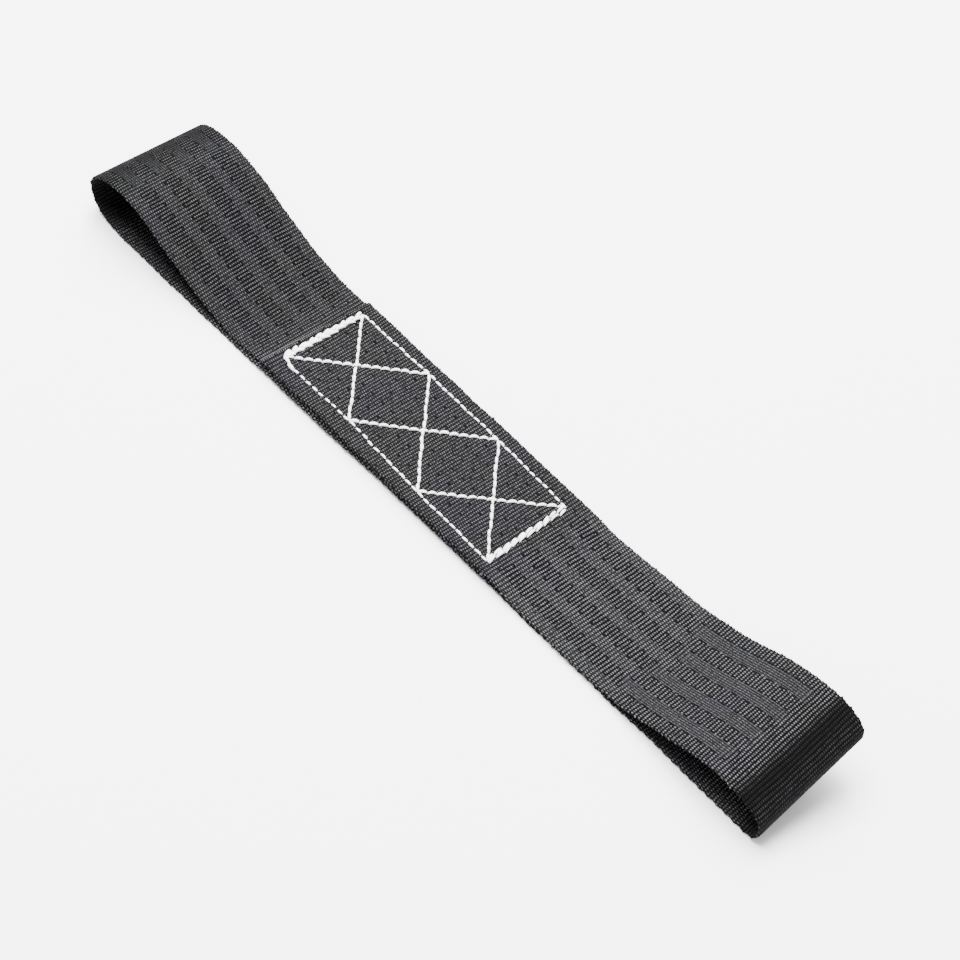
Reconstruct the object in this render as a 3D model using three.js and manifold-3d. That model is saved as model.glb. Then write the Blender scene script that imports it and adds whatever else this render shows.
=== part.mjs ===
import * as THREE from 'three';
import { mergeVertices } from 'three/addons/utils/BufferGeometryUtils.js';
import Module from 'manifold-3d';

// Soft loop strap lying on the floor: one webbing whose two ends are folded back to the middle, laid
// over each other and sewn down through all three layers, which leaves an open eye at each end.
// Millimetres. X runs along the strap, Y across the webbing (minus is the near edge), Z up.

// Webbing
const WEBBING_WIDTH = 50;
const WEBBING_THICKNESS = 1.3;
const STRAP_LENGTH = 395.3; // outside of one eye to outside of the other
const SELVEDGE_BEVEL = 0.35; // softened corner along both long edges
const CROSS_STEPS = 8; // facets across the width

// Seam
const LAYER_GAP = 0.3; // clearance between two layers, and between a layer and the thread
const SEAM_START = -82.45; // left bar of stitches
const SEAM_LENGTH = 124.2;
const SEAM_WIDTH = 38;
const CROSS_COUNT = 3; // stitched X marks in a row
const TOP_TAIL = 3.5; // webbing left beyond the left bar, where the upper end is cut
const HIDDEN_TAIL = 3.4; // webbing left beyond the right bar, where the covered end is cut
const TAIL_CURL = 0.35; // the upper cut end stands off a little
const CURL_LENGTH = 6; // and lies flat again this far in
const CUT_SKEW = 2.7; // the upper end is cut this much off square
const SEAM_RAMP = 20; // length over which the layers come down beside the seam
const RAMP_HOLD = 8; // each ramp holds level this far at both its ends

// Thread
const THREAD_WIDTH = 1;
const THREAD_HEIGHT = 0.6;
const BOBBIN_HEIGHT = 0.4;
const STITCH_DIP = 0.45; // thread left between two stitches, as a share of its height
const STITCH_PITCH = 3.8;
const BAR_ROWS = 2; // back-stitched rows in each end bar
const BAR_SPACING = 0.9; // between the middles of two rows, so that they just overlap
const FLOOR_CLEARANCE = 0.05; // lower thread above the floor

// Left eye, measured on the middle of the webbing's thickness
const LEFT_RAMP = 17.9; // from the seam to where the upper run leaves the lower one
const LEFT_RAMP_HOLD = 7;
const LEFT_CREST = -176;
const LEFT_HEIGHT = 23.9;
const LEFT_NOSE_HEIGHT = 11.5;
const LEFT_FLOOR = -183; // lower run reaches the floor here
const LEFT_FLOOR_HOLD = 9.5; // holds: how far the side view keeps its direction at each place
const LEFT_NOSE_HOLD = 7;
const LEFT_CREST_HOLD = 12.5;
const LEFT_SLOPE_HOLD = 21;
const LEFT_FOOT_HOLD = 34;
const LEFT_FAR_LIFT = 2.5; // far edge stands higher halfway up the slope
const LEFT_CROWN = 0.8; // slight arch across the slope
const LEFT_SKEW = 3.2; // the nose is drawn in this much at its far end

// Right eye, measured the same way on its near edge
const RIGHT_PART = 102;
const RIGHT_CREST = 178;
const RIGHT_HEIGHT = 17.9;
const RIGHT_NOSE_HEIGHT = 9;
const RIGHT_FLOOR = 187;
const RIGHT_FOOT_HOLD = 36;
const RIGHT_SLOPE_HOLD = 24;
const RIGHT_CREST_HOLD = 9.5;
const RIGHT_NOSE_TOP_HOLD = 6.5;
const RIGHT_NOSE_LOW_HOLD = 5.5;
const RIGHT_FLOOR_HOLD = 7.6;
const UPPER_LEAN = 15.5; // the whole eye is rolled over, its far edge this much higher at the crest
const LOWER_LEAN = 18.5; // and this much at the bottom of the nose
const LEAN_FULL = 185;
const LEAN_EASE = 1.4; // above 1 the upper run starts to roll gently
const UPPER_LEAN_GAP = 5.9; // it starts this far beyond the seam
const LOWER_LEAN_START = 117;
const SPLIT_START = 137; // between here and SPLIT_END the height that parts the two runs
const SPLIT_END = 187; // climbs from their gap in the stack to the middle of the nose

const CURVE_SEGMENTS = 14;
const STITCH_SEGMENTS = 4;

const half = WEBBING_THICKNESS / 2;
const layerPitch = WEBBING_THICKNESS + LAYER_GAP;
const seamEnd = SEAM_START + SEAM_LENGTH;
const leftTip = half - STRAP_LENGTH / 2;
const rightTip = STRAP_LENGTH / 2 - half;
const leftPart = SEAM_START - LEFT_RAMP;
const seamRise = FLOOR_CLEARANCE + BOBBIN_HEIGHT + LAYER_GAP;
const stackHeight = half + layerPitch; // upper run lying on the lower one
const splitHeight = WEBBING_THICKNESS + LAYER_GAP / 2;
const seamFace = seamRise + 3 * layerPitch; // needle thread sits here, one gap over the top layer

const wasm = await Module();
wasm.setup();

function solid(geometry) {
  geometry.deleteAttribute('normal');
  geometry.deleteAttribute('uv');
  const merged = mergeVertices(geometry, 1e-4);
  return new wasm.Manifold(new wasm.Mesh({
    numProp: 3,
    vertProperties: new Float32Array(merged.attributes.position.array),
    triVerts: new Uint32Array(merged.index.array),
  }));
}

function mesh(name, body, color, roughness) {
  const { vertProperties, triVerts } = body.getMesh();
  const geometry = new THREE.BufferGeometry();
  geometry.setAttribute('position', new THREE.BufferAttribute(new Float32Array(vertProperties), 3));
  geometry.setIndex(new THREE.BufferAttribute(new Uint32Array(triVerts), 1));
  geometry.computeVertexNormals();
  const material = new THREE.MeshStandardMaterial({ color, roughness, metalness: 0 });
  const result = new THREE.Mesh(geometry, material);
  result.name = name;
  return result;
}

// The webbing from its upper cut end, right along the top, round the right eye, back along the floor,
// round the left eye and in between the other two layers to its covered cut end.
function webbingCentreline() {
  const lower = half + seamRise;
  const middle = lower + layerPitch;
  const top = middle + layerPitch;
  const cut = SEAM_START - TOP_TAIL;
  const flatAgain = cut + CURL_LENGTH;
  const coveredCut = seamEnd + HIDDEN_TAIL;
  const rampEnd = coveredCut + SEAM_RAMP;
  const rollLength = RIGHT_FLOOR - LOWER_LEAN_START;
  const line = new THREE.Path();
  // Each curve runs level, or upright at a tip, where it starts and ends.
  const level = (x0, z0, hold0, hold1, x1, z1) => {
    const way = Math.sign(x1 - x0);
    line.bezierCurveTo(x0 + way * hold0, z0, x1 - way * hold1, z1, x1, z1);
  };
  const lift = top + TAIL_CURL;
  line.moveTo(cut, lift);
  level(cut, lift, CURL_LENGTH / 3, CURL_LENGTH / 2, flatAgain, top);
  line.lineTo(coveredCut, top);
  level(coveredCut, top, RAMP_HOLD, RAMP_HOLD, rampEnd, stackHeight);
  line.lineTo(RIGHT_PART, stackHeight);
  level(RIGHT_PART, stackHeight, RIGHT_FOOT_HOLD, RIGHT_SLOPE_HOLD, RIGHT_CREST, RIGHT_HEIGHT);
  line.bezierCurveTo(
    RIGHT_CREST + RIGHT_CREST_HOLD,
    RIGHT_HEIGHT,
    rightTip,
    RIGHT_NOSE_HEIGHT + RIGHT_NOSE_TOP_HOLD,
    rightTip,
    RIGHT_NOSE_HEIGHT,
  );
  line.bezierCurveTo(
    rightTip,
    RIGHT_NOSE_HEIGHT - RIGHT_NOSE_LOW_HOLD,
    RIGHT_FLOOR + RIGHT_FLOOR_HOLD,
    half,
    RIGHT_FLOOR,
    half,
  );
  level(RIGHT_FLOOR, half, rollLength / 3, rollLength / 3, LOWER_LEAN_START, half);
  line.lineTo(rampEnd, half);
  level(rampEnd, half, RAMP_HOLD, RAMP_HOLD, coveredCut, lower);
  line.lineTo(SEAM_START, lower);
  level(SEAM_START, lower, LEFT_RAMP_HOLD, LEFT_RAMP_HOLD, leftPart, half);
  line.lineTo(LEFT_FLOOR, half);
  line.bezierCurveTo(
    LEFT_FLOOR - LEFT_FLOOR_HOLD,
    half,
    leftTip,
    LEFT_NOSE_HEIGHT - LEFT_NOSE_HOLD,
    leftTip,
    LEFT_NOSE_HEIGHT,
  );
  line.bezierCurveTo(
    leftTip,
    LEFT_NOSE_HEIGHT + LEFT_NOSE_HOLD,
    LEFT_CREST - LEFT_CREST_HOLD,
    LEFT_HEIGHT,
    LEFT_CREST,
    LEFT_HEIGHT,
  );
  level(LEFT_CREST, LEFT_HEIGHT, LEFT_SLOPE_HOLD, LEFT_FOOT_HOLD, leftPart, stackHeight);
  level(leftPart, stackHeight, LEFT_RAMP_HOLD, LEFT_RAMP_HOLD, SEAM_START, middle);
  line.lineTo(coveredCut, middle);
  return line.getPoints(CURVE_SEGMENTS);
}

// Outline of a band of even thickness around the centreline.
function bandOutline(points, thickness) {
  const sides = [[], []];
  points.forEach((point, i) => {
    const before = points[Math.max(i - 1, 0)];
    const after = points[Math.min(i + 1, points.length - 1)];
    const along = after.clone().sub(before).normalize();
    const across = new THREE.Vector2(-along.y, along.x).multiplyScalar(thickness / 2);
    sides[0].push(point.clone().add(across));
    sides[1].push(point.clone().sub(across));
  });
  return new THREE.Shape([...sides[0], ...sides[1].reverse()]);
}

// Height parting the upper run from the lower one at a place along the right eye.
function partingHeight(x) {
  const climb = THREE.MathUtils.clamp((x - SPLIT_START) / (SPLIT_END - SPLIT_START), 0, 1);
  return THREE.MathUtils.lerp(splitHeight, RIGHT_NOSE_HEIGHT, climb);
}

// How the webbing waves across its width, as a lift at a point of the flat-swept band.
function waveLift(x, z, across) {
  if (x > 0) {
    const upper = z > partingHeight(x);
    const start = upper ? seamEnd + UPPER_LEAN_GAP : LOWER_LEAN_START;
    const run = THREE.MathUtils.clamp((x - start) / (LEAN_FULL - start), 0, 1);
    const share = upper ? run ** LEAN_EASE : THREE.MathUtils.smoothstep(run, 0, 1);
    const height = THREE.MathUtils.clamp((z - half) / (RIGHT_HEIGHT - half), 0, 1);
    const lean = THREE.MathUtils.lerp(LOWER_LEAN, UPPER_LEAN, height);
    return lean * share * ((1 - share) * across ** 2 + share * across);
  }
  if (z < splitHeight) return 0;
  const run = THREE.MathUtils.clamp((leftPart - x) / (leftPart - LEFT_CREST), 0, 1);
  const arch = 4 * LEFT_CROWN * across * (1 - across);
  return Math.sin(Math.PI * run) * (LEFT_FAR_LIFT * across + arch);
}

// How far the left eye is drawn in along the strap.
function noseSkew(x, across) {
  const run = THREE.MathUtils.clamp((leftPart - x) / (leftPart - leftTip), 0, 1);
  return LEFT_SKEW * run * across;
}

function webbing() {
  const band = new THREE.ExtrudeGeometry(bandOutline(webbingCentreline(), WEBBING_THICKNESS), {
    depth: WEBBING_WIDTH - 2 * SELVEDGE_BEVEL,
    steps: CROSS_STEPS,
    bevelThickness: SELVEDGE_BEVEL,
    bevelSize: SELVEDGE_BEVEL,
    bevelOffset: -SELVEDGE_BEVEL,
    bevelSegments: 1,
  });
  band.rotateX(Math.PI / 2);
  band.translate(0, WEBBING_WIDTH / 2 - SELVEDGE_BEVEL, 0);
  const cut = SEAM_START - TOP_TAIL;
  const topLayer = seamFace - layerPitch;
  const place = band.attributes.position;
  for (let i = 0; i < place.count; i += 1) {
    const x = place.getX(i);
    const z = place.getZ(i);
    const fromNear = place.getY(i) + WEBBING_WIDTH / 2;
    const across = fromNear / WEBBING_WIDTH;
    const lift = waveLift(x, z, across);
    const nearCut = z > topLayer ? THREE.MathUtils.clamp(1 - (x - cut) / CURL_LENGTH, 0, 1) : 0;
    const shift = noseSkew(x, across) + nearCut * CUT_SKEW * (across - 0.5);
    place.setXYZ(i, x + shift, Math.sqrt(fromNear ** 2 - lift ** 2) - WEBBING_WIDTH / 2, z + lift);
  }
  return solid(band);
}

// One row of stitches between two points of the seam. Each stitch swells to the full height of the
// thread and sinks between the next two holes. It faces up on the top layer and down underneath.
function stitchRow(from, to, height, base, facing) {
  const length = from.distanceTo(to);
  const count = Math.round(length / STITCH_PITCH);
  const pitch = length / count;
  const dip = height * STITCH_DIP;
  const outline = new THREE.Shape();
  outline.moveTo(0, 0);
  outline.lineTo(0, dip);
  for (let i = 0; i < count; i += 1) {
    outline.quadraticCurveTo((i + 0.5) * pitch, 2 * height - dip, (i + 1) * pitch, dip);
  }
  outline.lineTo(length, 0);
  const row = new THREE.ExtrudeGeometry(outline, {
    depth: THREAD_WIDTH,
    bevelEnabled: false,
    curveSegments: STITCH_SEGMENTS,
  });
  row.translate(0, 0, -THREAD_WIDTH / 2);
  row.rotateX(facing * Math.PI / 2);
  row.rotateZ(Math.atan2(to.y - from.y, to.x - from.x));
  row.translate(from.x, from.y, base);
  return solid(row);
}

// The whole seam in one thread: a box with its long sides, back-stitched end bars and a chain of
// X marks, whose diagonals meet on the long sides.
function seamThread(height, base, facing) {
  const near = -SEAM_WIDTH / 2;
  const far = SEAM_WIDTH / 2;
  const rows = [];
  const sew = (x0, y0, x1, y1) => {
    rows.push(stitchRow(new THREE.Vector2(x0, y0), new THREE.Vector2(x1, y1), height, base, facing));
  };
  sew(SEAM_START, near, seamEnd, near);
  sew(SEAM_START, far, seamEnd, far);
  for (let i = 0; i < CROSS_COUNT; i += 1) {
    const x0 = SEAM_START + (SEAM_LENGTH * i) / CROSS_COUNT;
    const x1 = SEAM_START + (SEAM_LENGTH * (i + 1)) / CROSS_COUNT;
    sew(x0, near, x1, far);
    sew(x0, far, x1, near);
  }
  for (let i = 0; i < BAR_ROWS; i += 1) {
    const inset = (i - (BAR_ROWS - 1) / 2) * BAR_SPACING;
    sew(SEAM_START + inset, near, SEAM_START + inset, far);
    sew(seamEnd + inset, near, seamEnd + inset, far);
  }
  return rows.reduce((whole, row) => whole.add(row));
}

const strap = new THREE.Group();
strap.name = 'soft_loop_strap';
strap.add(mesh('webbing_loop', webbing(), 0x2d2e31, 0.75));
strap.add(mesh('needle_thread', seamThread(THREAD_HEIGHT, seamFace, 1), 0xf4f4f1, 0.6));
strap.add(mesh('bobbin_thread', seamThread(BOBBIN_HEIGHT, seamRise - LAYER_GAP, -1), 0xf4f4f1, 0.6));

export default strap;
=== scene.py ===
import math

import bpy
import numpy as np
from mathutils import Matrix, Vector


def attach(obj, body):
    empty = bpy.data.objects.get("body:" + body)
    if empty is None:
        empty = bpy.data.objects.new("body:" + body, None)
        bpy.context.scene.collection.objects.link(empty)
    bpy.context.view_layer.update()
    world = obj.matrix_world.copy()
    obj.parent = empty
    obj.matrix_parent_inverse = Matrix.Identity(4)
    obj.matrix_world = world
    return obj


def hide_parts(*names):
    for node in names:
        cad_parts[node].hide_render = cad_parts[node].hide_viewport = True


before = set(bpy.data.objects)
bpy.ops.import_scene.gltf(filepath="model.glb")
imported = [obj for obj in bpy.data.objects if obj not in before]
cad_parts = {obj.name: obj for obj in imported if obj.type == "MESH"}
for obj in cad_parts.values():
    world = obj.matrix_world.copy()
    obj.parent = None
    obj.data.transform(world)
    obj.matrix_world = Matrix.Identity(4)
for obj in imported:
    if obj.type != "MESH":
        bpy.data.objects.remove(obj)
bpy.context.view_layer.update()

# Webbing. One length of 50 mm charcoal polyester webbing, heat-cut at both ends. It is folded into
# an eye at each end of the strap, and its ends lie over each other in the middle, three layers deep.
# It is woven in ribs across and in nine bands along it: a selvedge each side and seven between.
webbing_width = 50.0
webbing_thickness = 1.3
selvedge_width = 5.4
band_width = 5.63
yarn_pitch = 0.9
fine_row_pitch = 0.93
middle = webbing_width / 2
half = webbing_thickness / 2

# heights of the middle of each layer's thickness
layer_pitch = 1.6
seam_rise = 0.75
low = half
stack = low + layer_pitch
seam_low = low + seam_rise
seam_mid = seam_low + layer_pitch
seam_top = seam_mid + layer_pitch

# places along the strap
seam_left = -82.45
seam_right = 41.75
upper_cut = seam_left - 3.5
covered_cut = seam_right + 3.4
ramp_hold = 8
ramp_end = covered_cut + 20
curl_length = 6
flat_again = upper_cut + curl_length
tail_curl = 0.35
cut_skew = 2.7

left_part = seam_left - 17.9
left_ramp_hold = 7
left_tip = -197.0
left_floor = -183
left_floor_hold = 9.5
left_nose_height = 11.5
left_nose_hold = 7
left_crest = -176.0
left_height = 23.9
left_crest_hold = 12.5
left_slope_hold = 21
left_foot_hold = 34
left_far_lift = 2.5
left_crown = 0.8
left_skew = 3.2

right_tip = 197.0
right_part = 102
right_foot_hold = 36
right_slope_hold = 24
right_crest = 178.0
right_height = 17.9
right_crest_hold = 9.5
right_nose_height = 9
right_nose_top_hold = 6.5
right_nose_low_hold = 5.5
right_floor = 187
right_floor_hold = 7.6
upper_lean = 15.5
lower_lean = 18.5
upper_lean_start = seam_right + 5.9
lower_lean_start = 117
lean_full = 185
lean_ease = 1.4

# the lower run's near edge strays out from under the seam towards the left eye
edge_stray = 1.3
stray_start = 20
stray_length = 100
stray_nose = 22


def level(x0, z0, hold0, hold1, x1, z1):
    """A curve that runs level where it starts and ends, as start, two handles and end."""
    way = math.copysign(1, x1 - x0)
    return [(x0, z0), (x0 + way * hold0, z0), (x1 - way * hold1, z1), (x1, z1)]


def straight(x0, x1, z):
    third = abs(x1 - x0) / 3
    return level(x0, z, third, third, x1, z)


# side view of the middle of its thickness, from the upper cut end to the covered one
runs = [
    level(upper_cut, seam_top + tail_curl, curl_length / 3, curl_length / 2, flat_again, seam_top),
    straight(flat_again, covered_cut, seam_top),
    level(covered_cut, seam_top, ramp_hold, ramp_hold, ramp_end, stack),
    straight(ramp_end, right_part, stack),
    level(right_part, stack, right_foot_hold, right_slope_hold, right_crest, right_height),
    [
        (right_crest, right_height),
        (right_crest + right_crest_hold, right_height),
        (right_tip, right_nose_height + right_nose_top_hold),
        (right_tip, right_nose_height),
    ],
    [
        (right_tip, right_nose_height),
        (right_tip, right_nose_height - right_nose_low_hold),
        (right_floor + right_floor_hold, low),
        (right_floor, low),
    ],
    straight(right_floor, ramp_end, low),
    level(ramp_end, low, ramp_hold, ramp_hold, covered_cut, seam_low),
    straight(covered_cut, seam_left, seam_low),
    level(seam_left, seam_low, left_ramp_hold, left_ramp_hold, left_part, low),
    straight(left_part, left_floor, low),
    [
        (left_floor, low),
        (left_floor - left_floor_hold, low),
        (left_tip, left_nose_height - left_nose_hold),
        (left_tip, left_nose_height),
    ],
    [
        (left_tip, left_nose_height),
        (left_tip, left_nose_height + left_nose_hold),
        (left_crest - left_crest_hold, left_height),
        (left_crest, left_height),
    ],
    level(left_crest, left_height, left_slope_hold, left_foot_hold, left_part, stack),
    level(left_part, stack, left_ramp_hold, left_ramp_hold, seam_left, seam_mid),
    straight(seam_left, covered_cut, seam_mid),
]
walk = np.linspace(0, 1, 160)[:, None]
side = np.concatenate([
    (1 - walk) ** 3 * p + 3 * (1 - walk) ** 2 * walk * q + 3 * (1 - walk) * walk**2 * r + walk**3 * s
    for p, q, r, s in (np.array(run, float) for run in runs)
])
side = side[np.concatenate([[True], np.linalg.norm(np.diff(side, axis=0), axis=1) > 1e-6])]
reach = np.concatenate([[0], np.cumsum(np.linalg.norm(np.diff(side, axis=0), axis=1))])
webbing_length = float(reach[-1])

# the ribs lie closer under the seam than where the webbing is free; each has one station on its back
# and one in the valley beside it
fine = np.linspace(0, webbing_length, 4000)
pitch_places = [0, 100, 140, 184, 234, 262, 291, 695, 750, 800]
pitches = [1.51, 1.51, 1.6, 1.7, 1.92, 1.66, 1.6, 1.6, 1.51, 1.6]
rib_pitch = np.interp(fine, pitch_places, pitches)
ribs_up_to = np.concatenate([[0], np.cumsum(np.diff(fine) / rib_pitch[1:])])
rib_count = round(ribs_up_to[-1])
ribs_up_to *= rib_count / ribs_up_to[-1]
stations = 2 * rib_count + 1
rib_of_station = np.arange(stations) / 2
along = np.interp(rib_of_station, ribs_up_to, fine)
centre = np.stack([np.interp(along, reach, side[:, 0]), np.interp(along, reach, side[:, 1])], 1)
heading = np.gradient(centre, axis=0)
heading /= np.linalg.norm(heading, axis=1)[:, None]
outward = np.stack([-heading[:, 1], heading[:, 0]], 1)
at_right_nose = float(along[np.argmax(centre[:, 0])])
at_left_nose = float(along[np.argmin(centre[:, 0])])

# both edges wander a little, and more so under the right eye
rng = np.random.default_rng(7)
wander_pitch = 11.0
wander = np.interp(
    along,
    np.arange(0, webbing_length + wander_pitch + 1, wander_pitch),
    rng.uniform(-1, 1, int(webbing_length / wander_pitch) + 2),
)
wander_size = 0.25
scallop_pitch = 4.7
scallop_size = 0.12
loose_start = 291
loose_end = 400
loose_swell = 1.7
loose = np.where((along > loose_start) & (along < loose_end), loose_swell, 1.0)
scallop = loose * (scallop_size * np.sin(along * 2 * math.pi / scallop_pitch) + wander_size * wander)

# the seam as sewn: a box whose long sides the diagonals meet, not quite square
seam_nodes = {
    "far left": (-81.55, 19.4),
    "far one": (-41.6, 20.0),
    "far two": (0.2, 19.6),
    "far right": (41.4, 18.2),
    "near left": (-83.0, -17.2),
    "near one": (-42.4, -17.9),
    "near two": (0.7, -19.6),
    "near right": (42.8, -20.3),
    "first stitch": (-80.0, -18.3),
    "tack end": (-75.4, -19.0),
}
long_rows = [
    ("far left", "far one"),
    ("far one", "far two"),
    ("far two", "far right"),
    ("first stitch", "near one"),
    ("near one", "near two"),
    ("near two", "near right"),
]
rows_to_near = [("far left", "near one"), ("far two", "near right"), ("far one", "near two")]
rows_to_far = [("near one", "far two"), ("near left", "far one"), ("near two", "far right")]
tack_row = ("near left", "tack end")
left_bar = ("far left", "near left")
right_bar = ("far right", "near right")


def smooth(value):
    value = np.clip(value, 0, 1)
    return value * value * (3 - 2 * value)


def on_webbing(distance, across, off):
    """Points of the laid strap, from the distance along, the place across and the height off its middle."""
    distance, across, off = np.broadcast_arrays(
        np.asarray(distance, float), np.asarray(across, float), np.asarray(off, float))
    x = np.interp(distance, along, centre[:, 0])
    z = np.interp(distance, along, centre[:, 1])
    nx = np.interp(distance, along, outward[:, 0])
    nz = np.interp(distance, along, outward[:, 1])
    x = x + nx * off
    z = z + nz * off
    v = across / webbing_width
    upper = distance < at_right_nose
    upper_run = np.clip((x - upper_lean_start) / (lean_full - upper_lean_start), 0, 1) ** lean_ease
    lower_run = smooth((x - lower_lean_start) / (lean_full - lower_lean_start))
    run = np.where(x > 0, np.where(upper, upper_run, lower_run), 0)
    climb = np.clip((z - low) / (right_height - low), 0, 1)
    lean = lower_lean - (lower_lean - upper_lean) * climb
    lift = lean * run * ((1 - run) * v**2 + run * v)
    narrow = np.sqrt(1 - (lean * run / webbing_width) ** 2)
    slope = np.clip((left_part - x) / (left_part - left_crest), 0, 1)
    arch = np.sin(math.pi * slope) * (left_far_lift * v + 4 * left_crown * v * (1 - v))
    lift = lift + np.where((x < 0) & (distance > at_left_nose), arch, 0)
    x = x + left_skew * v * np.clip((left_part - x) / (left_part - left_tip), 0, 1)
    x = x + cut_skew * (v - 0.5) * np.clip(1 - distance / curl_length, 0, 1)
    on_floor = (distance > at_right_nose) & (distance < at_left_nose)
    strays = smooth((stray_start - x) / stray_length) * smooth((x - left_tip) / stray_nose)
    y = across * narrow - middle - np.where(on_floor, edge_stray * strays, 0)
    return np.stack([x, y, z + lift], -1)


def from_seam(points):
    """How far each point lies from the nearest row of stitches, seen from above."""
    best = np.full(len(points), 1e9)
    for row in [*long_rows, *rows_to_near, *rows_to_far, tack_row, left_bar, right_bar]:
        start, end = (np.array(seam_nodes[name]) for name in row)
        t = np.clip((points[:, :2] - start) @ (end - start) / ((end - start) @ (end - start)), 0, 1)
        nearest = start + t[:, None] * (end - start)
        best = np.minimum(best, np.linalg.norm(points[:, :2] - nearest, axis=1))
    return best


# each station is a ring of points: three to a band on both faces, and three round each edge
band_inset = 0.45
edge_inset = 0.13
edge_half = 0.38
borders = np.concatenate([[0], selvedge_width + band_width * np.arange(8), [webbing_width]])
face_places = np.concatenate([
    [start + band_inset, (start + end) / 2, end - band_inset]
    for start, end in zip(borders[:-1], borders[1:])
])
columns = len(face_places)
far_edge = [webbing_width - edge_inset, webbing_width, webbing_width - edge_inset]
near_edge = [edge_inset, 0, edge_inset]
ring_across = np.concatenate([face_places, far_edge, face_places[::-1], near_edge])
ring_off = np.concatenate([
    np.full(columns, half), [edge_half, 0, -edge_half], np.full(columns, -half), [-edge_half, 0, edge_half]])
ring = len(ring_across)
edge_zone = 5
off_middle = ring_across - middle
edge_pull = smooth((np.abs(off_middle) - middle + edge_zone) / edge_zone) * np.sign(off_middle)
grid_along = np.repeat(along, ring)
grid_across = np.tile(ring_across, stations) + np.repeat(scallop, ring) * np.tile(edge_pull, stations)

# the ribs don't run quite square or even: four slow waves of size, turns along and across, and start
drift_waves = [
    (0.09, 0.31, 0.13, 0.4),
    (0.14, 0.12, -0.11, 2.0),
    (0.07, 0.57, 0.3, 1.1),
    (0.07, 0.44, -0.45, 4.0),
]
drift = sum(
    size * np.sin(grid_along * turn_along + grid_across * turn_across + start)
    for size, turn_along, turn_across, start in drift_waves
)
from_cut = np.minimum(grid_along, webbing_length - grid_along)
grid_distance = grid_along + drift * np.clip(from_cut / curl_length, 0, 1)

selvedge_valley = 0.13
even_valley = 0.2
odd_valley = 0.1
ring_band = np.floor((ring_across - selvedge_width) / band_width)
valley_depth = np.where(ring_band % 2 == 0, even_valley, odd_valley)
valley_depth = np.where(np.abs(off_middle) > middle - selvedge_width, selvedge_valley, valley_depth)
in_valley = np.repeat(np.arange(stations) % 2 == 0, ring)
grid_off = np.tile(ring_off, stations)
grid_off = grid_off * np.where(in_valley, 1 - np.tile(valley_depth / half, stations), 1.0)

# the cut ends are melted into a thin raised rim
rim_length = 0.5
rim_swell = 1.45
in_rim = np.repeat((along < rim_length) | (along > webbing_length - rim_length), ring)
grid_off = grid_off * np.where(in_rim, rim_swell, 1.0)
webbing_points = on_webbing(grid_distance, grid_across, grid_off)

# the thread draws both faces of the seam in
dent_width = 1.1
top_dent = 0.34
under_dent = 0.2
skin = 0.3
top_layer_end = 134
seam_end = 48
dent = np.exp(-((from_seam(webbing_points) / dent_width) ** 2))
top_skin = (grid_distance < top_layer_end) & (grid_off > skin)
under_skin = (centre[np.repeat(np.arange(stations), ring), 0] < seam_end) & (grid_distance > at_right_nose) \
    & (grid_distance < at_left_nose) & (grid_off > skin)
webbing_points[:, 2] -= np.where(top_skin, top_dent * dent, 0)
webbing_points[:, 2] += np.where(under_skin, under_dent * dent, 0)

station_start = np.arange(stations - 1)[:, None] * ring
corner = np.arange(ring)[None, :]
next_corner = (corner + 1) % ring
webbing_faces = np.stack([
    station_start + corner,
    station_start + next_corner,
    station_start + ring + next_corner,
    station_start + ring + corner,
], -1).reshape(-1, 4).tolist()
pairs = np.arange(columns - 1)
mirror = 2 * columns + 2 - pairs
cut_quads = np.stack([pairs, mirror, mirror - 1, pairs + 1], -1).tolist()
cut_quads += [[columns - 1, columns + 3, columns + 2, columns], [0, ring - 1, ring - 3, 2 * columns + 2]]
cut_tips = [[columns, columns + 2, columns + 1], [ring - 1, ring - 2, ring - 3]]
end_row = (stations - 1) * ring
for face in cut_quads + cut_tips:
    webbing_faces.append(face[::-1])
    webbing_faces.append([end_row + place for place in face])

# small loops of weft standing out of both selvedges, one at each rib and a few pulled long
loop_sides = 6
loop_half = 0.62
short_stand = (0.02, 0.1)
long_stand = (0.25, 0.75)
long_share = (0.03, 0.07)
nub_points, nub_faces = [], []
spin = np.linspace(0, 2 * math.pi, loop_sides + 1)[:-1]
for edge in (0, 1):
    for rib in range(rib_count):
        s = float(along[2 * rib + 1])
        stand = rng.uniform(*short_stand)
        if rng.random() < long_share[edge]:
            stand += rng.uniform(*long_stand)
        direction = 1 if edge else -1
        base = np.interp(s, along, scallop) * direction + (webbing_width if edge else 0)
        first = len(nub_points)
        for reach_out, wide in ((-0.25, loop_half), (0.1 * stand, 0.6), (0.65 * stand, 0.42)):
            for angle in spin:
                nub_points.append((
                    s + 0.8 * wide * math.cos(angle),
                    base + direction * reach_out,
                    0.5 * wide / loop_half * math.sin(angle),
                ))
        nub_points.append((s, base + direction * stand, 0.0))
        for ring_start in (first, first + loop_sides):
            for k in range(loop_sides):
                a, b = ring_start + k, ring_start + (k + 1) % loop_sides
                quad = [a, b, b + loop_sides, a + loop_sides]
                nub_faces.append(quad[::-1] if edge else quad)
        last_ring = first + 2 * loop_sides
        for k in range(loop_sides):
            tri = [last_ring + k, last_ring + (k + 1) % loop_sides, last_ring + loop_sides]
            nub_faces.append(tri[::-1] if edge else tri)
        root = [first + loop_sides - 1 - k for k in range(loop_sides)]
        nub_faces.append(root[::-1] if edge else root)
nub_points = np.array(nub_points)
nub_world = on_webbing(nub_points[:, 0], nub_points[:, 1], nub_points[:, 2])
all_points = np.concatenate([webbing_points, nub_world]) / 1000
all_faces = webbing_faces + [[place + len(webbing_points) for place in face] for face in nub_faces]
webbing_mesh = bpy.data.meshes.new("webbing")
webbing_mesh.from_pydata(all_points.tolist(), [], all_faces)

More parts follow.
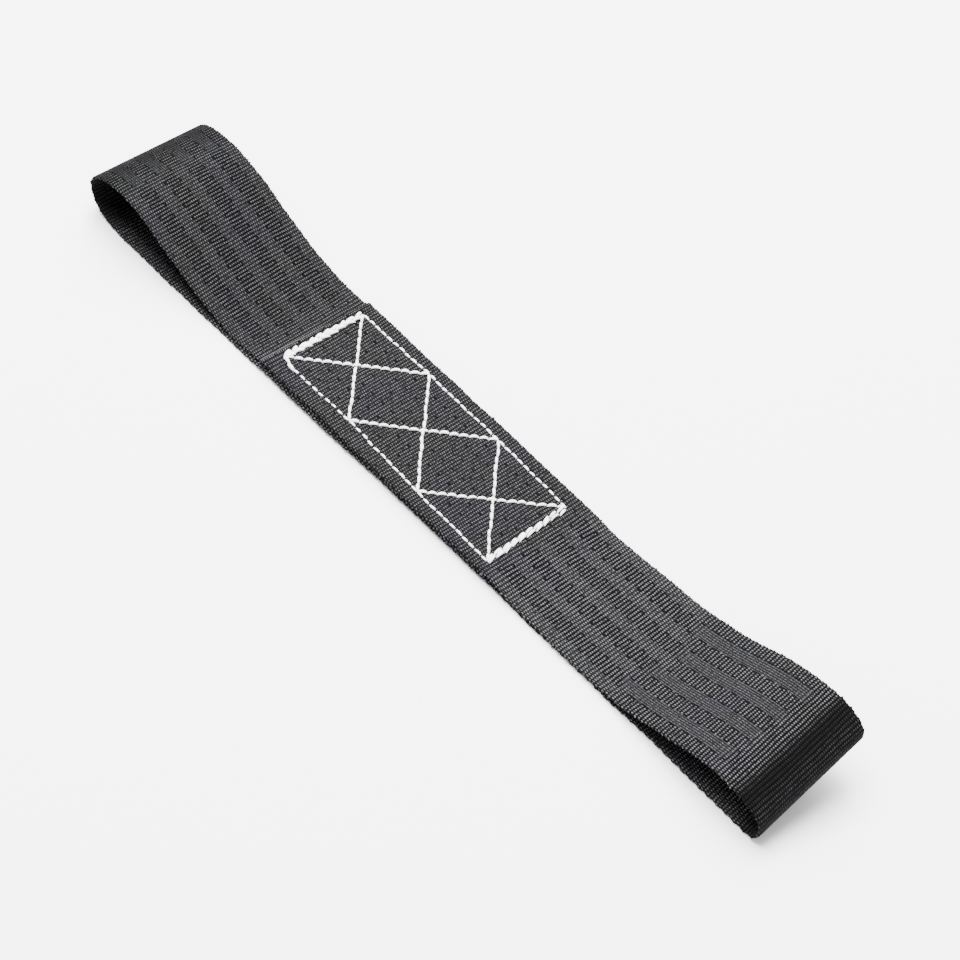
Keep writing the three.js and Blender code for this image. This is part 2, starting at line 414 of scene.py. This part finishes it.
# the map holds the rib's number and the millimetres across, both divided by a hundred
weave_map = webbing_mesh.uv_layers.new(name="weave")
flat_places = np.concatenate([
    np.stack([np.repeat(rib_of_station, ring), grid_across], 1),
    np.stack([np.interp(nub_points[:, 0], along, rib_of_station), nub_points[:, 1]], 1)]) / 100
corner_of = np.empty(len(webbing_mesh.loops), np.int32)
webbing_mesh.loops.foreach_get("vertex_index", corner_of)
weave_map.data.foreach_set("uv", flat_places[corner_of].astype(np.float32).ravel())
webbing_mesh.shade_smooth()
webbing = bpy.data.objects.new("webbing", webbing_mesh)
bpy.context.collection.objects.link(webbing)


class Link:
    """A socket of a material, so that sums on it add Math nodes."""

    def __init__(self, tree, socket):
        self.tree = tree
        self.socket = socket

    def node(self, kind, settings=None, **inputs):
        made = self.tree.nodes.new(kind)
        for name, value in (settings or {}).items():
            setattr(made, name, value)
        for name, value in inputs.items():
            key = int(name[1:]) if name[0] == "i" and name[1:].isdigit() else name.replace("_", " ")
            if isinstance(value, Link):
                self.tree.links.new(value.socket, made.inputs[key])
            else:
                made.inputs[key].default_value = value
        return made

    def out(self, made, name=0):
        return Link(self.tree, made.outputs[name])

    def math(self, operation, *others):
        values = {f"i{i}": value for i, value in enumerate((self, *others))}
        return self.out(self.node("ShaderNodeMath", {"operation": operation}, **values))

    def __add__(self, other):
        return self.math("ADD", other)

    __radd__ = __add__

    def __sub__(self, other):
        return self.math("SUBTRACT", other)

    def __rsub__(self, other):
        return self * -1 + other

    def __mul__(self, other):
        return self.math("MULTIPLY", other)

    __rmul__ = __mul__

    def __truediv__(self, other):
        return self.math("DIVIDE", other)

    def __pow__(self, other):
        return self.math("POWER", other)

    def __abs__(self):
        return self.math("ABSOLUTE")

    def wave(self):
        """1 halfway between two whole numbers, falling to 0 on each of them."""
        return 1 - abs(self.math("FRACT") * 2 - 1)

    def above(self, edge, soft):
        return self.out(self.node("ShaderNodeMapRange", {"interpolation_type": "SMOOTHSTEP"},
                                  Value=self, From_Min=edge - soft, From_Max=edge + soft))

    def between(self, start, end, soft):
        return self.above(start, soft) * (1 - self.above(end, soft))

    def mix(self, low_colour, high_colour):
        made = self.node("ShaderNodeMix", {"data_type": "RGBA"}, i0=self, i6=low_colour, i7=high_colour)
        return self.out(made, 2)

    def noise(self, scale, detail):
        return self.out(self.node("ShaderNodeTexNoise", i0=self, Scale=scale, Detail=detail))


webbing_look = bpy.data.materials.new("webbing")
webbing_look.use_nodes = True
tree = webbing_look.node_tree
weave_uv = tree.nodes.new("ShaderNodeUVMap")
weave_uv.uv_map = "weave"
place = Link(tree, weave_uv.outputs[0])
split = place.node("ShaderNodeSeparateXYZ", i0=place)
rib = place.out(split, 0) * 100
across_mm = place.out(split, 1) * 100
object_place = Link(tree, tree.nodes.new("ShaderNodeTexCoord").outputs["Object"])
patchy = object_place.noise(55.0, 3.0)
fibre = object_place.noise(2600.0, 2.0)
band = (across_mm - selvedge_width) / band_width
even = (band / 2).math("FRACT").math("LESS_THAN", 0.5)

# where the weave changes along the webbing, in millimetres from the upper cut end, as ribs
zone_ends = [134, 806, 204, 263, 273, 281, 304, 688, 722]
(patch_end, patch_start, opens_right, crest_right, crease_start, crease_end, fold_end,
 left_nose, closes_left) = np.interp(zone_ends, fine, ribs_up_to)
uneven = rib + (patchy - 0.5) * 26
before_fold = 1 - rib.above(crest_right, 3.0)
in_patch = 1 - rib.between(patch_end, patch_start, 3.0)
open_right = uneven.between(opens_right, crest_right, 4.0) * before_fold
open_weave = open_right + rib.between(left_nose, closes_left, 2.5)
on_fold = rib.above(crest_right, 3.0) * (1 - rib.above(fold_end, 3.0))
crease = rib.between(crease_start, crease_end, 2.5)
turned = rib.between(crease_start, fold_end, 2.5)
usual = (1 - in_patch - open_weave - on_fold).math("MAXIMUM", 0.0)

# valleys between ribs, sunk in the bump and painted dark as painted shade: in every other band they are
# deep and dark, and where the weave opens towards the eyes the bands change places
valley = 1 - rib.wave().above(0.43, 0.28)
depth = usual * (even * 0.62 + 0.38) + in_patch * 0.62
depth = depth + open_weave * (0.95 - even * 0.7) + on_fold * (1 - turned * 0.35)

# a weft float closes the ends of some ribs: one in four, on both borders of an even band; each closed
# end is sunk in the bump and painted as a near-black line of painted shade
slot = (rib / 4).math("FRACT") * 4
to_low = (band / 2).wave() * band_width
to_high = (band / 2 + 0.5).wave() * band_width
low_float = slot.between(0.0, 1.05, 0.12).math("MAXIMUM", slot.between(0.9, 2.05, 0.12) * open_weave)
high_float = slot.between(1.0, 2.05, 0.12)
low_line = (1 - to_low.above(0.32, 0.12)) * low_float
high_line = (1 - to_high.above(0.32, 0.12)) * high_float
inner = 1 - abs(across_mm - middle).above(20.6, 0.2)
cap = low_line.math("MAXIMUM", high_line) * inner * (1 - on_fold * 0.6)
# painted shade: near-black in the valleys and along the closed rib ends, the same mask sinking them in the
# bump
dark = (valley * depth).math("MAXIMUM", cap * 0.95)

# every rib is a string of small beads, the ones beside it half a bead further on; in the open
# weave every other band shows fine rows along the webbing in place of them
bead = (across_mm / yarn_pitch + rib.math("FLOOR") * 0.5).wave().above(0.5, 0.4)
fine_rows = (across_mm / fine_row_pitch).wave().above(0.4, 0.35)
lengthwise = open_weave * even
beads = bead * (1 - lengthwise) + fine_rows * lengthwise
top = (1 - valley) * (1 - lengthwise) + lengthwise * (1 - valley * 0.4)
relief = (1 - dark) * 0.7 + beads * top * 0.35 + fibre * 0.1
# painted shade and highlight: the yarn is painted near-black in the valleys and closed ends and lightest on
# the bead tops; patchy and fibre add random tone
shade = (1 - dark) * (0.25 + beads * 0.75) * (0.75 + patchy * 0.5) * (0.7 + fibre * 0.6)
shade = shade * (1 - lengthwise * 0.35)

# painted shade: the yarn's colour is painted darker at the right crease, on the face below it, over the
# left nose and, more weakly, down the left eye's slope, to come near the photo's tones there
painted_shade_factor = (1 - crease * 0.55) * (1 - turned * 0.5)
painted_shade_factor = painted_shade_factor * (1 - rib.between(left_nose - 8, closes_left - 6, 5.0) * 0.45)
painted_shade_factor = painted_shade_factor * (1 - rib.above(left_nose - 8, 5.0) * (1 - in_patch) * 0.22)
shade = shade * painted_shade_factor
# painted highlight: bright glints on the bead tops, weaker in the patch and the fine rows and dimmed by the
# painted shade
glint = beads * top * (1 - dark) * fibre.above(0.5, 0.12)
glint = glint * (0.95 - in_patch * 0.35 - lengthwise * 0.55) * painted_shade_factor * painted_shade_factor
# the yarn runs from near-black painted shade through its own dark grey to the pale painted highlight
charcoal = shade.mix((0.0002, 0.0002, 0.0002, 1), (0.0088, 0.0088, 0.0093, 1))
charcoal = glint.mix(charcoal, (0.122, 0.122, 0.127, 1))
violet = patchy.above(0.57, 0.08) * 0.5
tinted = charcoal.node("ShaderNodeMix", {"data_type": "RGBA", "blend_type": "MULTIPLY"},
                       i0=1.0, i6=charcoal, i7=(0.95, 0.93, 1.14, 1))
charcoal = violet.mix(charcoal, charcoal.out(tinted, 2))

# both cut ends are melted and a little glossier, and their rims are painted paler as a painted highlight,
# the upper one mostly on its near side
melted_rim_and_highlight = (1 - rib.above(0.26, 0.08)) * (1 - across_mm.above(31, 6.0) * 0.75)
melted_rim_and_highlight = melted_rim_and_highlight.math("MAXIMUM", rib.above(rib_count - 0.45, 0.1))
charcoal = melted_rim_and_highlight.mix(charcoal, (0.09, 0.09, 0.092, 1))
roughness = 0.7 - melted_rim_and_highlight * 0.2 + (1 - shade) * 0.2
bump = place.node("ShaderNodeBump", Strength=1.0, Distance=0.0005, Height=relief)
surface = next(n for n in tree.nodes if n.type == "BSDF_PRINCIPLED")
surface.inputs["Specular IOR Level"].default_value = 0.05
tree.links.new(charcoal.socket, surface.inputs["Base Color"])
tree.links.new(roughness.socket, surface.inputs["Roughness"])
tree.links.new(bump.outputs[0], surface.inputs["Normal"])
webbing_mesh.materials.append(webbing_look)
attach(webbing, "root")
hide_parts("webbing_loop")

# Needle thread. Heavy white bonded thread in lockstitches on top of the seam: a box, three X marks
# and end bars gone over two or three times. Each stitch rises from its hole, lies plump and sinks again.
thread_radius = 0.58
rise_radius = 0.46
stitch_pitch = 3.8
seam_face = seam_top + half
thread_sunk = 0.22
hole_wobble = 0.13
bar_wobble = 0.25
bar_spacing = 0.75
stitch_rings = 8
stitch_sides = 8


def sew(points_out, faces_out, uv_out, start, end, thickness, rise, sink, slant, face, facing, wobble):
    """One row of stitches from start to end, on cloth whose height is face, facing up (1) or down (-1)."""
    start, end = np.array(start, float), np.array(end, float)
    count = max(1, round(np.linalg.norm(end - start) / stitch_pitch))
    step = (end - start) / count
    direction = step / np.linalg.norm(step)
    sideways = np.array([-direction[1], direction[0]])
    holes = [start + step * i + rng.normal(0, wobble, 2) * (0 < i < count) for i in range(count + 1)]
    for a, b in zip(holes[:-1], holes[1:]):
        fat = thickness * rng.uniform(0.9, 1.1)
        lean = rng.normal(0, 0.1)
        first = len(points_out)
        for k in range(stitch_rings):
            t = k / (stitch_rings - 1)
            swell = math.sin(math.pi * t)
            hump = swell**0.55
            size = fat * (0.36 + 0.64 * swell**0.6)
            ring_middle = a + (b - a) * (-0.04 + 1.08 * t)
            ring_middle = ring_middle + sideways * (lean * swell + fat * slant * (t - 0.5))
            height = face + facing * (rise * hump - sink * (1 - hump))
            for m in range(stitch_sides):
                turn = 2 * math.pi * m / stitch_sides
                flat = ring_middle + sideways * size * math.cos(turn)
                points_out.append((flat[0], flat[1], height + facing * size * 0.82 * math.sin(turn)))
                uv_out.append((t * stitch_pitch, m / stitch_sides * 3.0))
        for k in range(stitch_rings - 1):
            for m in range(stitch_sides):
                p, q = first + k * stitch_sides + m, first + k * stitch_sides + (m + 1) % stitch_sides
                quad = [p, p + stitch_sides, q + stitch_sides, q]
                faces_out.append(quad if facing > 0 else quad[::-1])
        start_cap = [first + m for m in range(stitch_sides)]
        end_cap = [first + (stitch_rings - 1) * stitch_sides + m for m in range(stitch_sides)]
        faces_out.append(start_cap if facing > 0 else start_cap[::-1])
        faces_out.append(end_cap[::-1] if facing > 0 else end_cap)


def seam(name, face, facing, thickness):
    points, faces, uv = [], [], []
    rises = thickness / rise_radius
    rows = [(row, 0.78, 0.0, 0.95, 0.3) for row in long_rows]
    rows += [(row, 1.05, 0.32, 0.5, 0.35) for row in rows_to_near]
    rows += [(row, 1.08, 0.34, 0.65, 0.9) for row in rows_to_far]
    rows += [(tack_row, 1.3, 0.45, 0.2, 0.6)]
    for (start, end), size, rise, sink, slant in rows:
        sew(points, faces, uv, seam_nodes[start], seam_nodes[end],
            thickness * size, rise * rises, sink, slant, face, facing, hole_wobble)
    bars = [(left_bar, 1.25, 0.04), (right_bar, 1.0, 0.5)]
    for bar, size, middle_start in bars:
        start, end = (np.array(seam_nodes[name]) for name in bar)
        for shift, share in ((-bar_spacing, 0.0), (bar_spacing, 0.02), (0.0, middle_start)):
            ends = rng.normal(0, 0.3, 2)
            sew(points, faces, uv, start + (end - start) * share + (shift + ends[0] * 0.4, 0),
                end + (shift + ends[1] * 0.4, 0), thickness * size, 0.45 * rises, 0.2,
                1.5 * math.copysign(1, ends[0]), face, facing, bar_wobble)
    mesh = bpy.data.meshes.new(name)
    mesh.from_pydata((np.array(points) / 1000).tolist(), [], faces)
    layer = mesh.uv_layers.new(name="twist")
    corners = np.empty(len(mesh.loops), np.int32)
    mesh.loops.foreach_get("vertex_index", corners)
    layer.data.foreach_set("uv", np.array(uv, np.float32)[corners].ravel())
    mesh.shade_smooth()
    made = bpy.data.objects.new(name, mesh)
    bpy.context.collection.objects.link(made)
    return made


thread_look = bpy.data.materials.new("thread")
thread_look.use_nodes = True
tree = thread_look.node_tree
twist_uv = tree.nodes.new("ShaderNodeUVMap")
twist_uv.uv_map = "twist"
place = Link(tree, twist_uv.outputs[0])
split = place.node("ShaderNodeSeparateXYZ", i0=place)
ply_pitch = 0.8
plies = ((place.out(split, 0) + place.out(split, 1) * 0.5) / ply_pitch).wave()
# painted shade: the white thread is painted a little darker in the grooves between its plies
white = (plies ** 0.6).mix((0.78, 0.78, 0.77, 1), (0.95, 0.95, 0.94, 1))
bump = place.node("ShaderNodeBump", Strength=0.6, Distance=0.00018, Height=plies)
surface = next(n for n in tree.nodes if n.type == "BSDF_PRINCIPLED")
surface.inputs["Roughness"].default_value = 0.55
surface.inputs["Specular IOR Level"].default_value = 0.4
tree.links.new(white.socket, surface.inputs["Base Color"])
tree.links.new(bump.outputs[0], surface.inputs["Normal"])
needle_thread = seam("needle_thread_stitches", seam_face - thread_sunk, 1, thread_radius)
needle_thread.data.materials.append(thread_look)
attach(needle_thread, "root")
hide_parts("needle_thread")

# Bobbin thread. The lower thread of the same seam, on the underside of the lowest layer, pulled
# flatter into the webbing than the needle thread above.
bobbin_radius = 0.4
bobbin_sunk = 0.15
bobbin_thread = seam("bobbin_thread_stitches", seam_low - half + bobbin_sunk, -1, bobbin_radius)
bobbin_thread.data.materials.append(thread_look)
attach(bobbin_thread, "root")
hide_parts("bobbin_thread")

# Studio. A plain pale floor, a white surround, a broad soft light nearly overhead and a weaker one
# from the far left side, and the camera where the photograph was taken from.
floor_drop = 0.0002
bpy.ops.object.select_all(action="DESELECT")
bpy.ops.mesh.primitive_plane_add(size=6, location=(0, 0, -floor_drop))
floor = bpy.context.object
floor.name = "floor"
floor_look = bpy.data.materials.new("floor")
floor_look.use_nodes = True
floor_look.node_tree.nodes["Principled BSDF"].inputs["Base Color"].default_value = (0.93, 0.93, 0.93, 1)
floor_look.node_tree.nodes["Principled BSDF"].inputs["Roughness"].default_value = 0.9
floor.data.materials.append(floor_look)

world = bpy.data.worlds.new("studio")
bpy.context.scene.world = world
world.use_nodes = True
world.node_tree.nodes["Background"].inputs["Color"].default_value = (1, 1, 1, 1)
world.node_tree.nodes["Background"].inputs["Strength"].default_value = 1.35


def soft_light(name, stand, size, power):
    bpy.ops.object.light_add(type="AREA", location=stand)
    lamp = bpy.context.object
    lamp.name = name
    lamp.data.shape = "SQUARE"
    lamp.data.size = size
    lamp.data.energy = power
    lamp.rotation_euler = (-Vector(stand)).to_track_quat("-Z", "Y").to_euler()


soft_light("key light", (-0.9, 1.1, 1.6), 1.3, 90)
soft_light("top light", (-0.4, 0.2, 2.1), 1.5, 260)

azimuth, elevation, roll = math.radians(50.62), math.radians(49.75), math.radians(0.41)
camera_distance = 1.598
looks_at = Vector((0.00765, 0.00467, 0))
back = Vector((
    math.sin(azimuth) * math.cos(elevation),
    -math.cos(azimuth) * math.cos(elevation),
    math.sin(elevation),
))
right = Vector((0, 0, 1)).cross(back).normalized()
up = back.cross(right)
camera_right = right * math.cos(roll) + up * math.sin(roll)
camera_up = up * math.cos(roll) - right * math.sin(roll)
camera_data = bpy.data.cameras.new("camera")
camera_data.sensor_width = 36
camera_data.lens = 161.3
camera = bpy.data.objects.new("camera", camera_data)
bpy.context.collection.objects.link(camera)
camera.matrix_world = Matrix.Translation(looks_at + back * camera_distance) @ Matrix(
    (camera_right, camera_up, back)).transposed().to_4x4()
bpy.context.scene.camera = camera
